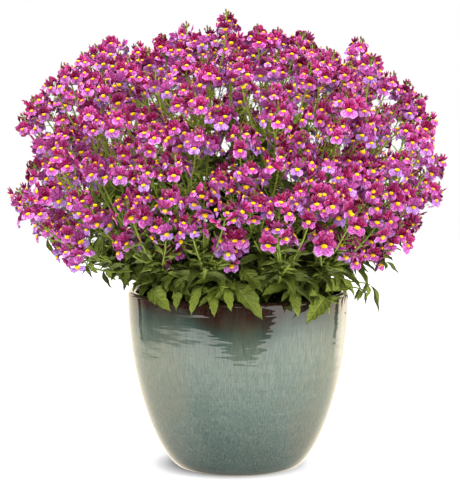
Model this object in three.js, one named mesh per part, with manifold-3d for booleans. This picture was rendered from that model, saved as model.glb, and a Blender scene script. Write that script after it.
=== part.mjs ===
// A nemesia in full flower, growing in a round glazed pot.
// Millimetres, +Z up and -Y to the front. The origin is the middle of the pot's flat base.
import * as THREE from "three";
import { mergeVertices } from "three/addons/utils/BufferGeometryUtils.js";
import Module from "manifold-3d";

const wasm = await Module();
wasm.setup();

const degrees = THREE.MathUtils.degToRad;
const point = (x, y, z) => new THREE.Vector3(x, y, z);
const UP = point(0, 0, 1);

// Pot and soil
const POT_HEIGHT = 240;
const MOUTH_RADIUS = 150;
const FOOT_RADIUS = 82;
const POT_BELLY = 0.7;
const POT_WALL = 12;
const POT_FLOOR = 16;
const FLOOR_CORNER = 8;
const POT_LEVELS = [0, 4, 20, 55, 115];
const RIM_TURNS = [60, 120];
const POT_SIDES = 32;
const SOIL_SIDES = 16;
const SOIL_LEVEL = 214;
const SOIL_MOUND = 8;
const SOIL_ROUGHNESS = 1.6;
const SOIL_TOP_RADII = [96, 48, 0];
const WALL_HEIGHTS = [36, 110, SOIL_LEVEL];
const SEAT_GAP = 0.3;

// Flower mound: how far the heads' feet lie from its middle, how square its outline is, how much
// of their polar angle the heads lean, and how far chance moves them
const MOUND_CENTRE = point(-12, 0, 362);
const MOUND_REACH = 248;
const MOUND_RISE = 184;
const MOUND_DROP = 72;
const MOUND_SQUARENESS = 0.84;
const HEAD_LEAN = 0.88;
const REACH_SPREAD = 12;
const POLAR_SPREAD = 1.5;
const AZIMUTH_SPREAD = 1.2;

// The middle stem carries the top head and the first ring. Each outer stem carries two heads of
// the second ring and five of the wide zigzag ring round the side. Polar angles are in degrees.
const HEAD_RINGS = [
  { count: 1, stem: () => 0, polar: () => 0 },
  { count: 6, stem: () => 0, polar: () => 25 },
  { count: 12, stem: (i) => 1 + Math.floor(i / 2), polar: () => 50 },
  { count: 30, stem: (i) => 1 + Math.floor(i / 5), polar: (i) => (i % 2 ? 113 : 79) },
];

// Stems
const OUTER_STEMS = 6;
const STEM_RING_RADIUS = 84;
const STEM_ROOT_Z = 190;
const OUTER_FORK_Z = 262;
const MIDDLE_FORK_Z = 330;
const MAIN_STEM_RADIUS = 4.6;
const BRANCH_RADIUS = 2.3;
const BRANCH_STEPS = 3;
const BRANCH_BEND = 0.42;
const TOP_FORK = 0.97;
const MIDDLE_FORKS = [0.55, 0.9];
const LOW_FORKS = [0.6, 0.72];
const HIGH_FORKS = [0.8, 0.97];
const SHOOT_FORK = 0.5;
const SHOOT_SPREAD = 3;
const SHOOT_REACH = 134;
const SHOOT_HEIGHT = 259;
const SHOOT_TURN = 16;

// Leaves, a little over life size
const LEAF_LENGTH = 64;
const LEAF_WIDTH = 27;
const RIB_THICKNESS = 2.2;
const LEAF_CUP = 0.25;
const LEAF_SIZES = [0.92, 1.1];
const LEAF_SWAYS = [0, 11, -11, 23, -23, 36, -36, 50, -50];

// Flower heads, about twice life size, so that 49 of them cover the mound
const RING_FLOWERS = 6;
const RING_RADIUS = 37;
const RING_HEIGHT = 22;
const RING_FACING = degrees(38);
const TOP_HEIGHT = 47;
const TOP_FLOWER_SIZE = 0.76;
const FLOWER_SIZES = [0.94, 1];
const FACING_SPREAD = 4;
const HEIGHT_SPREAD = 1.5;
const PETAL_SPREAD = 0.8;
const HEAD_RADIUS = 54;
const HEAD_OVERREACH = 1.03;
const HEAD_SHRINK = 0.99;
const CORE_FOOT = { radius: 9, z: 0 };
const CORE_WAIST = { radius: 25, z: 13 };
const CORE_TOP = { radius: 13, z: 30 };

const MOUND_SEED = 8086;
const FLOWER_SEED = 5003;
const STEM_SEED = 901;

const GLAZE = new THREE.MeshStandardMaterial({ color: 0x7f9a90, roughness: 0.12, metalness: 0 });
const SOIL = new THREE.MeshStandardMaterial({ color: 0x2b2019, roughness: 0.95, metalness: 0 });
const LEAF = new THREE.MeshStandardMaterial({ color: 0x4d7028, roughness: 0.6, metalness: 0 });
const PETAL = new THREE.MeshStandardMaterial({ color: 0xa8357e, roughness: 0.65, metalness: 0 });

// A small seeded generator, so that every build draws the same numbers.
function seededDraw(seed) {
  let state = seed;
  return (low, high) => {
    state = (state * 16807) % 2147483647;
    return low + ((high - low) * state) / 2147483647;
  };
}

function geometryFrom(vertices, triangles) {
  const geometry = new THREE.BufferGeometry();
  const coordinates = vertices.flatMap((v) => [v.x, v.y, v.z]);
  geometry.setAttribute("position", new THREE.Float32BufferAttribute(coordinates, 3));
  geometry.setIndex(triangles.flat());
  return geometry;
}

function solidFrom(geometry) {
  const bare = new THREE.BufferGeometry();
  bare.setAttribute("position", geometry.getAttribute("position"));
  bare.setIndex(geometry.index);
  const merged = mergeVertices(bare, 1e-3);
  const mesh = new wasm.Mesh({
    numProp: 3,
    vertProperties: new Float32Array(merged.getAttribute("position").array),
    triVerts: new Uint32Array(merged.index.array),
  });
  return new wasm.Manifold(mesh);
}

function geometryOf(solid) {
  const mesh = solid.getMesh();
  const geometry = new THREE.BufferGeometry();
  geometry.setAttribute("position", new THREE.BufferAttribute(mesh.vertProperties, 3));
  geometry.setIndex(new THREE.BufferAttribute(mesh.triVerts, 1));
  return geometry;
}

function namedMesh(name, geometry, material) {
  const mesh = new THREE.Mesh(geometry, material);
  mesh.name = name;
  return mesh;
}

// Level direction at an azimuth counted from the front, counterclockwise from above.
function outwardAt(azimuth) {
  return point(Math.sin(azimuth), -Math.cos(azimuth), 0);
}

// Pot and soil

function potRadius(z) {
  const rise = 1 - (1 - z / POT_HEIGHT) ** 2;
  return FOOT_RADIUS + (MOUTH_RADIUS - FOOT_RADIUS) * rise ** POT_BELLY;
}

// Turns an outline of [radius, height] points round +Z. It starts and ends on the axis.
function turned(outline, sides) {
  const profile = outline.map(([radius, z]) => new THREE.Vector2(radius, z));
  return new THREE.LatheGeometry(profile, sides).rotateX(Math.PI / 2);
}

function potGeometry() {
  const rimRadius = POT_WALL / 2;
  const shoulder = POT_HEIGHT - rimRadius;
  const outer = [...POT_LEVELS, shoulder].map((z) => [potRadius(z), z]);
  const rim = RIM_TURNS.map((turn) => [
    MOUTH_RADIUS - rimRadius + rimRadius * Math.cos(degrees(turn)),
    shoulder + rimRadius * Math.sin(degrees(turn)),
  ]);
  const inner = [shoulder, ...[...WALL_HEIGHTS].reverse()].map((z) => [potRadius(z) - POT_WALL, z]);
  const floorRadius = potRadius(POT_FLOOR) - POT_WALL - FLOOR_CORNER;
  return turned([[0, 0], ...outer, ...rim, ...inner, [floorRadius, POT_FLOOR], [0, POT_FLOOR]], POT_SIDES);
}

// A low mound, roughened by a broad and a fine wave.
function soilHeight(x, y) {
  const out = Math.hypot(x, y) / MOUTH_RADIUS;
  const broad = Math.sin(x * 0.11 + 1.3) * Math.cos(y * 0.13);
  const fine = 0.6 * Math.sin(x * 0.23 - y * 0.19);
  return SOIL_LEVEL + SOIL_MOUND * (1 - out * out) + SOIL_ROUGHNESS * (broad + fine);
}

// The soil fills the pot and has a plain hole for each stem.
function soilGeometry(roots) {
  const clearance = POT_WALL + 2 * SEAT_GAP;
  const edge = potRadius(SOIL_LEVEL) - clearance;
  const bottomZ = POT_FLOOR + SEAT_GAP;
  const bottomRadius = potRadius(POT_FLOOR) - clearance - FLOOR_CORNER;
  const wall = WALL_HEIGHTS.map((z) => [potRadius(z) - clearance, z]);
  const top = SOIL_TOP_RADII.map((radius) => [radius, SOIL_LEVEL]);
  const geometry = turned([[0, bottomZ], [bottomRadius, bottomZ], ...wall, ...top], SOIL_SIDES);
  const position = geometry.getAttribute("position");
  for (let i = 0; i < position.count; i++) {
    const [x, y, z] = [position.getX(i), position.getY(i), position.getZ(i)];
    if (z > SOIL_LEVEL - 1 && Math.hypot(x, y) < edge - 1) position.setZ(i, soilHeight(x, y));
  }
  let soil = solidFrom(geometry);
  for (const root of roots) {
    const hole = new THREE.LineCurve3(
      root.clone().setZ(STEM_ROOT_Z - SEAT_GAP),
      root.clone().setZ(SOIL_LEVEL + 3 * SOIL_MOUND),
    );
    soil = soil.subtract(stemSolid(hole, MAIN_STEM_RADIUS + 2 * SEAT_GAP, 1));
  }
  return geometryOf(soil);
}

// Where every flower head stands, and the way it faces

// A power that keeps the sign, which squares off the mound's round outline.
const squared = (value) => Math.sign(value) * Math.abs(value) ** MOUND_SQUARENESS;

function headPlace(polar, azimuth, jitter) {
  const out = (MOUND_REACH + jitter) * squared(Math.sin(polar));
  const rise = (polar < Math.PI / 2 ? MOUND_RISE + jitter : MOUND_DROP) * squared(Math.cos(polar));
  const foot = outwardAt(azimuth).multiplyScalar(out).setZ(rise).add(MOUND_CENTRE);
  const lean = HEAD_LEAN * polar;
  const axis = outwardAt(azimuth).multiplyScalar(Math.sin(lean)).setZ(Math.cos(lean));
  const middle = foot.clone().addScaledVector(axis, RING_HEIGHT);
  return { foot, axis, middle, polar };
}

function headPlaces() {
  const draw = seededDraw(MOUND_SEED);
  const within = (spread) => draw(-spread, spread);
  const places = [];
  for (const { count, stem, polar } of HEAD_RINGS) {
    for (let i = 0; i < count; i++) {
      const azimuth = (2 * Math.PI * (i + 0.5)) / count + degrees(within(AZIMUTH_SPREAD));
      const polarAngle = degrees(polar(i) + within(POLAR_SPREAD));
      places.push({ ...headPlace(polarAngle, azimuth, within(REACH_SPREAD)), stem: stem(i) });
    }
  }
  return places;
}

// Flowers

// Half of a flower's outline, from the notch of the lower lip to the notch of the upper lip:
// across, up and forward of the throat. The other half is its mirror image.
const LIP_NOTCH = [0, -14, 9];
const HALF_OUTLINE = [
  [12, -18.5, 9],
  [13.5, -4, 6],
  [17, 8, -0.5],
  [7, 9.5, -2],
  [7.5, 24, -1],
];
const CREST_NOTCH = [0, 14, -1.5];
const PALATE = [0, 0.5, 4.5];

function flowerOutline() {
  const mirrored = [...HALF_OUTLINE].reverse().map(([across, up, out]) => [-across, up, out]);
  return [LIP_NOTCH, ...HALF_OUTLINE, CREST_NOTCH, ...mirrored];
}

// One head: a small six-sided core with a ring of flowers round it and one on top.
function headGeometry(head, size, draw) {
  const vertices = [];
  const triangles = [];
  const add = (v) => vertices.push(v) - 1;
  const azimuthOf = (i) => (2 * Math.PI * i) / RING_FLOWERS;
  const coreLoop = ({ radius, z }) =>
    Array.from({ length: RING_FLOWERS }, (_, i) => {
      return add(point(radius * Math.cos(azimuthOf(i)), radius * Math.sin(azimuthOf(i)), z));
    });
  const foot = coreLoop(CORE_FOOT);
  const waist = coreLoop(CORE_WAIST);
  const top = coreLoop(CORE_TOP);
  for (let i = 1; i + 1 < RING_FLOWERS; i++) triangles.push([foot[0], foot[i + 1], foot[i]]);
  for (let i = 0; i < RING_FLOWERS; i++) {
    const next = (i + 1) % RING_FLOWERS;
    triangles.push([foot[i], foot[next], waist[next]], [foot[i], waist[next], waist[i]]);
  }

  // A flower whose back closes on a loop of the core's corners. Both loops start at the lower lip,
  // and each corner takes an equal share of the flower's edge.
  function addFlower(throat, facing, up, corners, size) {
    const across = up.clone().cross(facing);
    const placed = ([u, v, w], wobble) => {
      const place = throat.clone().addScaledVector(across, u * size).addScaledVector(up, v * size);
      return add(place.addScaledVector(facing, w * size + wobble));
    };
    const edge = flowerOutline().map((corner) => placed(corner, draw(-PETAL_SPREAD, PETAL_SPREAD)));
    const edgeAt = (i) => edge[i % edge.length];
    const palate = placed(PALATE, 0);
    const share = edge.length / corners.length;
    for (let i = 0; i < edge.length; i++) {
      const corner = corners[Math.floor(i / share)];
      triangles.push([palate, edgeAt(i), edgeAt(i + 1)], [corner, edgeAt(i + 1), edgeAt(i)]);
    }
    corners.forEach((corner, j) => {
      const next = corners[(j + 1) % corners.length];
      triangles.push([corner, next, edgeAt((j + 1) * share)]);
    });
  }

  for (let i = 0; i < RING_FLOWERS; i++) {
    const next = (i + 1) % RING_FLOWERS;
    const azimuth = azimuthOf(i + 0.5);
    const tilt = RING_FACING + degrees(draw(-FACING_SPREAD, FACING_SPREAD));
    const outward = point(Math.cos(azimuth), Math.sin(azimuth), 0);
    const height = RING_HEIGHT + draw(-HEIGHT_SPREAD, HEIGHT_SPREAD);
    const throat = outward.clone().multiplyScalar(RING_RADIUS).setZ(height);
    const facing = outward.clone().multiplyScalar(Math.cos(tilt)).setZ(Math.sin(tilt));
    const up = outward.clone().multiplyScalar(-Math.sin(tilt)).setZ(Math.cos(tilt));
    addFlower(throat, facing, up, [waist[next], top[next], top[i], waist[i]], draw(...FLOWER_SIZES));
  }
  const upAzimuth = azimuthOf((RING_FLOWERS - 1) / 2);
  const topUp = point(Math.cos(upAzimuth), Math.sin(upAzimuth), 0);
  addFlower(UP.clone().multiplyScalar(TOP_HEIGHT), UP, topUp, top, TOP_FLOWER_SIZE);

  const geometry = geometryFrom(vertices, triangles);
  return geometry
    .rotateZ(draw(0, azimuthOf(1)))
    .scale(size, size, size)
    .applyQuaternion(new THREE.Quaternion().setFromUnitVectors(UP, head.axis))
    .translate(head.foot.x, head.foot.y, head.foot.z);
}

// Every head starts as large as the room to its nearest neighbour suggests, and is made again, a
// little smaller and turned, until its petals clear the heads made before it.
function headGeometries(places) {
  const draw = seededDraw(FLOWER_SEED);
  const made = [];
  return places.map((place) => {
    const gaps = places.map((other) => other.middle.distanceTo(place.middle)).filter((gap) => gap > 0);
    let size = (HEAD_OVERREACH * Math.min(...gaps)) / (2 * HEAD_RADIUS);
    let geometry = headGeometry(place, size, draw);
    const clears = () => made.every((other) => solidFrom(geometry).intersect(other).isEmpty());
    while (!clears()) {
      size *= HEAD_SHRINK;
      geometry = headGeometry(place, size, draw);
    }
    made.push(solidFrom(geometry));
    return geometry;
  });
}

// Stems and leaves

// A four-sided stem along a curve, as a nemesia's stems are.
function stemSolid(curve, radius, steps) {
  const corners = [0, 90, 180, 270].map((turn) => {
    return new THREE.Vector2(radius * Math.cos(degrees(turn)), radius * Math.sin(degrees(turn)));
  });
  const settings = { steps, extrudePath: curve, bevelEnabled: false };
  return solidFrom(new THREE.ExtrudeGeometry(new THREE.Shape(corners), settings));
}

// Half of a leaf's toothed edge, as shares of its length and width, and the height of its rib.
const LEAF_EDGE = [
  [0.28, 0.4],
  [0.47, 0.5],
  [0.55, 0.36],
  [0.76, 0.28],
];
const LEAF_RIB = [0.3, 0.62];

// A toothed, arched blade from a point inside its stem, drooping towards its tip.
function leafSolid(base, along, length, droop) {
  const width = (LEAF_WIDTH * length) / LEAF_LENGTH;
  const across = UP.clone().cross(along).normalize();
  const lift = along.clone().cross(across).normalize();
  const placed = (share, side, rise) =>
    base
      .clone()
      .addScaledVector(along, share * length)
      .addScaledVector(across, side * width)
      .addScaledVector(lift, rise + LEAF_CUP * width * Math.abs(side))
      .addScaledVector(UP, -droop * length * share * share);
  const vertices = [placed(0, 0, 0)];
  const add = (v) => vertices.push(v) - 1;
  const right = LEAF_EDGE.map(([share, side]) => add(placed(share, -side, 0)));
  const left = LEAF_EDGE.map(([share, side]) => add(placed(share, side, 0)));
  const tip = add(placed(1, 0, 0));
  const triangles = [];
  for (const face of [1, -1]) {
    const rib = LEAF_RIB.map((share) => add(placed(share, 0, (face * RIB_THICKNESS) / 2)));
    for (const [edge, side] of [[right, 1], [left, -1]]) {
      const half = [
        [0, edge[0], rib[0]],
        [edge[0], edge[1], rib[0]],
        [edge[1], rib[1], rib[0]],
        [edge[1], edge[2], rib[1]],
        [edge[2], edge[3], rib[1]],
        [edge[3], tip, rib[1]],
      ];
      for (const [a, b, c] of half) triangles.push(face * side > 0 ? [a, b, c] : [a, c, b]);
    }
  }
  return solidFrom(geometryFrom(vertices, triangles));
}

// A leaf at a share of a curve, turned by an angle from the way that the curve leads.
function leafOn(curve, share, turn, length, droop) {
  const along = curve.getTangentAt(share).setZ(0).normalize().applyAxisAngle(UP, degrees(turn));
  return leafSolid(curve.getPointAt(share), along, length, droop);
}

// The curve from a point on the main stem to a head's foot, which it meets square on.
function branchTo(head, start) {
  const end = head.foot.clone().addScaledVector(head.axis, -SEAT_GAP);
  const bend = end.clone().addScaledVector(head.axis, -BRANCH_BEND * end.distanceTo(start));
  return new THREE.QuadraticBezierCurve3(start, bend, end);
}

// Where leaves grow: a share of a branch or shoot, the turns of a pair from it, and the droop.
const MIDDLE_LEAVES = { share: 1 / 3, turn: 60, droop: 0.15 };
const LOW_LEAVES = { share: 1 / 3, turn: 60, droop: 0.5 };
const HIGH_LEAVES = { share: 2 / 3, turn: 75, droop: 0.2 };
const RIM_LEAVES = { share: 0.97, turn: 30, droop: 0.62 };
const DROOP_SPREAD = 0.06;

// The middle stem forks to the top head and to the ring round it, with a leaf on each of the ring's
// branches, to the left and right in turn.
function middleStem(heads, draw) {
  const main = new THREE.LineCurve3(point(0, 0, STEM_ROOT_Z), point(0, 0, MIDDLE_FORK_Z));
  const leafPlaces = [];
  let stem = stemSolid(main, MAIN_STEM_RADIUS, 1);
  heads.forEach((head, i) => {
    const curve = branchTo(head, main.getPoint(i ? draw(...MIDDLE_FORKS) : TOP_FORK));
    stem = stem.add(stemSolid(curve, BRANCH_RADIUS, BRANCH_STEPS));
    const side = i % 2 ? 1 : -1;
    if (i) leafPlaces.push({ ...MIDDLE_LEAVES, curve, turn: side * MIDDLE_LEAVES.turn });
  });
  return { stem, leafPlaces };
}

// An outer stem forks to its heads and sends two short shoots to the rim. Leaves grow in pairs.
function outerStem(root, azimuth, heads, draw) {
  const main = new THREE.LineCurve3(root.clone().setZ(STEM_ROOT_Z), root.clone().setZ(OUTER_FORK_Z));
  const leafPlaces = [];
  const addPair = (curve, { share, turn, droop }) => {
    for (const side of [1, -1]) {
      const ownDroop = droop + draw(-DROOP_SPREAD, DROOP_SPREAD);
      leafPlaces.push({ curve, share, turn: side * turn, droop: ownDroop });
    }
  };
  let stem = stemSolid(main, MAIN_STEM_RADIUS, 1);
  heads.forEach((head, i) => {
    const isLow = head.polar > degrees(90);
    const branch = branchTo(head, main.getPoint(draw(...(isLow ? LOW_FORKS : HIGH_FORKS))));
    stem = stem.add(stemSolid(branch, BRANCH_RADIUS, BRANCH_STEPS));
    if (isLow) addPair(branch, LOW_LEAVES);
    if (i < 2) addPair(branch, HIGH_LEAVES);
  });
  for (const side of [-1, 1]) {
    const end = outwardAt(azimuth + degrees(side * SHOOT_TURN)).multiplyScalar(SHOOT_REACH);
    end.setZ(SHOOT_HEIGHT + draw(-SHOOT_SPREAD, SHOOT_SPREAD));
    const shoot = new THREE.LineCurve3(main.getPoint(SHOOT_FORK), end);
    stem = stem.add(stemSolid(shoot, BRANCH_RADIUS, 1));
    addPair(shoot, RIM_LEAVES);
  }
  return { stem, leafPlaces };
}

// Grows each leaf where it crosses nothing but the stem at its own base. A leaf that would cross
// something sways to the side, and is left out where no sway clears it.
function leafyStem({ stem, leafPlaces }, obstacles, draw) {
  for (const { curve, share, turn, droop } of leafPlaces) {
    const length = LEAF_LENGTH * draw(...LEAF_SIZES);
    for (const sway of LEAF_SWAYS) {
      const leaf = leafOn(curve, share, turn + sway, length, droop);
      const joinsOnce = leaf.intersect(stem).decompose().length === 1;
      if (joinsOnce && obstacles.every((other) => leaf.intersect(other).isEmpty())) {
        stem = stem.add(leaf);
        break;
      }
    }
  }
  return stem;
}

// The whole plant in its pot

const places = headPlaces();
const headsOf = (stem) => places.filter((head) => head.stem === stem);
const headShapes = headGeometries(places);
const headSolids = headShapes.map(solidFrom);

const azimuths = Array.from({ length: OUTER_STEMS }, (_, i) => (2 * Math.PI * (i + 0.5)) / OUTER_STEMS);
const outerRoots = azimuths.map((azimuth) => outwardAt(azimuth).multiplyScalar(STEM_RING_RADIUS));
const stemDraw = seededDraw(STEM_SEED);
const bareStems = [
  middleStem(headsOf(0), stemDraw),
  ...outerRoots.map((root, i) => outerStem(root, azimuths[i], headsOf(i + 1), stemDraw)),
];
const stems = bareStems.map((bare) => bare.stem);
const potShape = potGeometry();
bareStems.forEach((bare, i) => {
  const obstacles = [solidFrom(potShape), ...headSolids, ...stems.filter((_, j) => j !== i)];
  stems[i] = leafyStem(bare, obstacles, stemDraw);
});

const plant = new THREE.Group();
plant.add(namedMesh("pot", potShape, GLAZE));
plant.add(namedMesh("soil", soilGeometry([point(0, 0, 0), ...outerRoots]), SOIL));
stems.forEach((stem, i) => plant.add(namedMesh(`leafy_stem_${i + 1}`, geometryOf(stem), LEAF)));
headShapes.forEach((shape, i) => plant.add(namedMesh(`flower_head_${i + 1}`, shape, PETAL)));

export default plant;
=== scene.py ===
# A nemesia in full flower, growing in a round glazed pot, on a pale studio floor.
import random
from math import atan2, cos, exp, hypot, pi, radians, sin, sqrt, tan

import bmesh
import bpy
from mathutils import Matrix, Vector, noise


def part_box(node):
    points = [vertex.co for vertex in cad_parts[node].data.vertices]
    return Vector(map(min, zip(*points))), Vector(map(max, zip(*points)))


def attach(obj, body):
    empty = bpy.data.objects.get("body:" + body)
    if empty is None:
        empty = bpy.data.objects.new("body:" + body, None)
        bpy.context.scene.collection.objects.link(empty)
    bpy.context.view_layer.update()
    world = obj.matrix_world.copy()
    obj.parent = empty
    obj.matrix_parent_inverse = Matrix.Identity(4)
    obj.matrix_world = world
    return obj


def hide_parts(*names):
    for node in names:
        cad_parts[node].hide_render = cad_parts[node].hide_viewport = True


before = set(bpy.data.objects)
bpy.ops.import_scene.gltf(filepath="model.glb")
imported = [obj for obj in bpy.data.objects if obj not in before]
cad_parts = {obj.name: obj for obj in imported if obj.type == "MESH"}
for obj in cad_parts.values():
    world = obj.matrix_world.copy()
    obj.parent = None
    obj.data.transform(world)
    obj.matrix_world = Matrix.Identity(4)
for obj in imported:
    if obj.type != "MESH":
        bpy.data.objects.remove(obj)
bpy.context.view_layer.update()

MM = 0.001
UP = Vector((0, 0, 1))
SIDEWAYS = Vector((0.31, 0.17, 0.05)).normalized()
CHANCE = random.Random(2207)
between = CHANCE.uniform


# Camera, at the photograph's viewing angle
PHOTO_WIDTH = 460
PHOTO_HEIGHT = 500
CAMERA_PLACE = Vector((-0.011, -2.4, 0.55))
CAMERA_TARGET = Vector((-0.011, 0, 0.2933))
FIELD_OF_VIEW = 16.0


def add_object(name, data):
    made = bpy.data.objects.new(name, data)
    bpy.context.scene.collection.objects.link(made)
    return made


def aimed(place, target):
    """The rotation that turns a camera or a light at a place to a target."""
    return (target - place).to_track_quat("-Z", "Y").to_euler()


camera = add_object("camera", bpy.data.cameras.new("camera"))
camera.data.sensor_fit = "VERTICAL"
camera.data.angle = radians(FIELD_OF_VIEW)
camera.data.clip_start = 0.05
camera.location = CAMERA_PLACE
camera.rotation_euler = aimed(CAMERA_PLACE, CAMERA_TARGET)
bpy.context.scene.camera = camera


def sight_line(column, row):
    """The way from the camera through a pixel of the photograph, to 1 m further back."""
    half_view = tan(radians(FIELD_OF_VIEW / 2))
    half_height = PHOTO_HEIGHT / 2
    across = (column - PHOTO_WIDTH / 2) / half_height * half_view
    up = (half_height - row) / half_height * half_view
    direction = Vector((across, up, -1))
    direction.rotate(camera.rotation_euler)
    return direction / direction.y


def steps_back(start, direction, first, stride, count):
    """The points at even steps along a direction."""
    return (start + direction * (first + stride * index) for index in range(count))


# Shader maths
def math_node(operation, backwards=False):
    """A method that adds a Math node, fed with its socket and its arguments."""
    def method(*values):
        return values[0].finish.math(operation, *(reversed(values) if backwards else values))
    return method


class Shade:
    """One socket of a material's nodes. Sums on it add Math nodes."""

    def __init__(self, finish, socket):
        self.finish = finish
        self.socket = socket

    __add__ = __radd__ = math_node("ADD")
    __sub__ = math_node("SUBTRACT")
    __rsub__ = math_node("SUBTRACT", backwards=True)
    __mul__ = __rmul__ = math_node("MULTIPLY")
    __truediv__ = math_node("DIVIDE")
    __pow__ = math_node("POWER")
    __abs__ = math_node("ABSOLUTE")
    sine = math_node("SINE")

    def step(self, low, high):
        """0 below low, 1 above high, and smooth in between."""
        settings = {"interpolation_type": "SMOOTHSTEP"}
        return self.finish.node("MapRange", settings, {"Value": self, "From Min": low, "From Max": high})


def rgb(*colour):
    """Red, green and blue as a screen shows them, from 0 to 255, as shader sockets take them."""
    shares = [part / 255 for part in colour]
    linear = [x / 12.92 if x <= 0.04045 else ((x + 0.055) / 1.055) ** 2.4 for x in shares]
    return (*linear, 1.0)


# Where the painted shade in the plant is darkest
PLANT_HEART = (0, 0, 0.27)
HEART_REACH = (0.08, 0.165)
HEART_WIDENING = 2.5


class Finish:
    """A material and the nodes that make it."""

    def __init__(self, name, **sockets):
        self.material = bpy.data.materials.new(name)
        self.material.use_nodes = True
        self.tree = self.material.node_tree
        self.shader = self.tree.nodes["Principled BSDF"]
        self.set(**sockets)

    def set(self, **sockets):
        """Sets the shader's sockets. A name's underscores stand for spaces."""
        for name, value in sockets.items():
            self.feed(self.shader.inputs[name.replace("_", " ").title().replace("Ior", "IOR")], value)

    def feed(self, socket, value):
        if isinstance(value, Shade):
            self.tree.links.new(value.socket, socket)
        else:
            socket.default_value = value

    def node(self, kind, settings, values, output=0):
        """Adds a node: its settings, then the values or links of its sockets."""
        made = self.tree.nodes.new("ShaderNode" + kind)
        for name, value in settings.items():
            setattr(made, name, value)
        for name, value in values.items():
            self.feed(made.inputs[name], value)
        return Shade(self, made.outputs[output])

    def math(self, operation, *values):
        return self.node("Math", {"operation": operation}, dict(enumerate(values)))

    def ramp(self, value, *stops):
        """The colour for a value, between stops that each have a value and a colour."""
        shade = self.node("ValToRGB", {}, {"Fac": value})
        elements = shade.socket.node.color_ramp.elements
        while len(elements) < len(stops):
            elements.new(1.0)
        for element, (place, colour) in zip(elements, stops):
            element.position = place
            element.color = colour
        return shade

    def mix(self, share, first, second):
        return self.node("Mix", {"data_type": "RGBA"}, {0: share, 6: first, 7: second}, output=2)

    def place(self):
        """The place on the object, in metres."""
        return self.node("TexCoord", {}, {}, output="Object")

    def part(self, vector, axis):
        return self.node("SeparateXYZ", {}, {"Vector": vector}, output=axis)

    def scaled(self, vector, scale):
        return self.node("VectorMath", {"operation": "MULTIPLY"}, {0: vector, 1: scale})

    def grain(self, vector, scale, detail=2.0, roughness=0.5):
        values = {"Vector": vector, "Scale": scale, "Detail": detail, "Roughness": roughness}
        return self.node("TexNoise", {}, values)

    def tone(self):
        """The tone of the copy that a corner belongs to, from 0 to 1."""
        return self.node("Attribute", {"attribute_name": "tone"}, {}, output="Fac")

    def inside(self):
        """1 deep in the plant and 0 towards its outer parts, widening higher up: the mask of painted
        shade, where the plant shades itself.
        """
        place = self.place()
        ends = {0: place, 1: PLANT_HEART}
        away = self.node("VectorMath", {"operation": "DISTANCE"}, ends, output="Value")
        wider = 1 + (self.part(place, "Z") - PLANT_HEART[2]) * HEART_WIDENING
        return 1 - (away / wider).step(*HEART_REACH)

    def bump(self, height, strength, distance):
        """Relief, with the distance in millimetres."""
        values = {"Height": height, "Strength": strength, "Distance": distance * MM}
        self.set(normal=self.node("Bump", {}, values))


# Plant finishes. Each petal and leaf has a map named petal, across it and along it from its base
def petal_finish(name, along_stops, warm, cool, deep, painted_highlight, lobes, vein_count, vein_depth):
    """Coloured from the throat outwards, then by tone, veins, painted shade in the hollows of crinkles
    and in the grooves between lobes, and painted highlights on the crests of crinkles. Deep colours the
    veins and the painted shade.
    """
    finish = Finish(name, specular_ior_level=0.08)
    spread = finish.node("UVMap", {"uv_map": "petal"}, {})
    across = finish.part(spread, "X")
    along = finish.part(spread, "Y")
    tone = finish.tone()
    mottle = finish.grain(finish.place(), scale=270, detail=3.0)
    crinkle_and_painted_light = finish.grain(finish.place(), scale=520)
    colour = finish.ramp(along + (mottle - 0.5) * 0.7, *along_stops)
    colour = finish.mix(tone.step(0.5, 1.0) * 0.75, colour, warm)
    colour = finish.mix((1 - tone).step(0.48, 0.95) * 0.8, colour, cool)
    # Painted shade in the hollows of the crinkles and painted highlights on their crests, over the same
    # noise that gives the relief.
    colour = finish.mix(crinkle_and_painted_light.step(0.48, 0.68) * 0.65, colour, deep)
    colour = finish.mix((1 - crinkle_and_painted_light).step(0.52, 0.72) * 0.6, colour, painted_highlight)
    # Painted shade in the grooves between the lobes, where the relief also sinks.
    groove_and_painted_shade = (1 - abs((across * pi * lobes).sine())) ** 2 * along.step(0.1, 0.7)
    colour = finish.mix(groove_and_painted_shade * 0.35, colour, deep)
    veins = ((across * vein_count + mottle * 1.5).sine() * 0.5 + 0.5) ** 3 * (1 - along * 0.7)
    colour = finish.mix(veins * vein_depth, colour, deep)
    finish.set(base_color=colour, roughness=0.45 + mottle * 0.25)
    height = veins * 0.4 + mottle * 1.3 + crinkle_and_painted_light * 0.5 - groove_and_painted_shade * 0.7
    finish.bump(height, strength=0.9, distance=1.8)
    return finish.material


def green_finish():
    """Stems, pedicels and calyces: light where they are young, and darkened deep in the plant by painted
    shade.
    """
    finish = Finish("stem_green", specular_ior_level=0.4)
    mottle = finish.grain(finish.place(), scale=180, detail=3.0)
    colour = finish.mix(finish.tone(), rgb(86, 108, 34), rgb(150, 166, 62))
    colour = finish.mix(mottle.step(0.55, 0.8) * 0.5, colour, rgb(168, 176, 86))
    # Painted shade: darker deep in the plant.
    colour = finish.mix(finish.inside() * 0.7, colour, rgb(24, 32, 12))
    finish.set(base_color=colour, roughness=0.4 + mottle * 0.3)
    finish.bump(mottle, strength=0.3, distance=0.5)
    return finish.material


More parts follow.
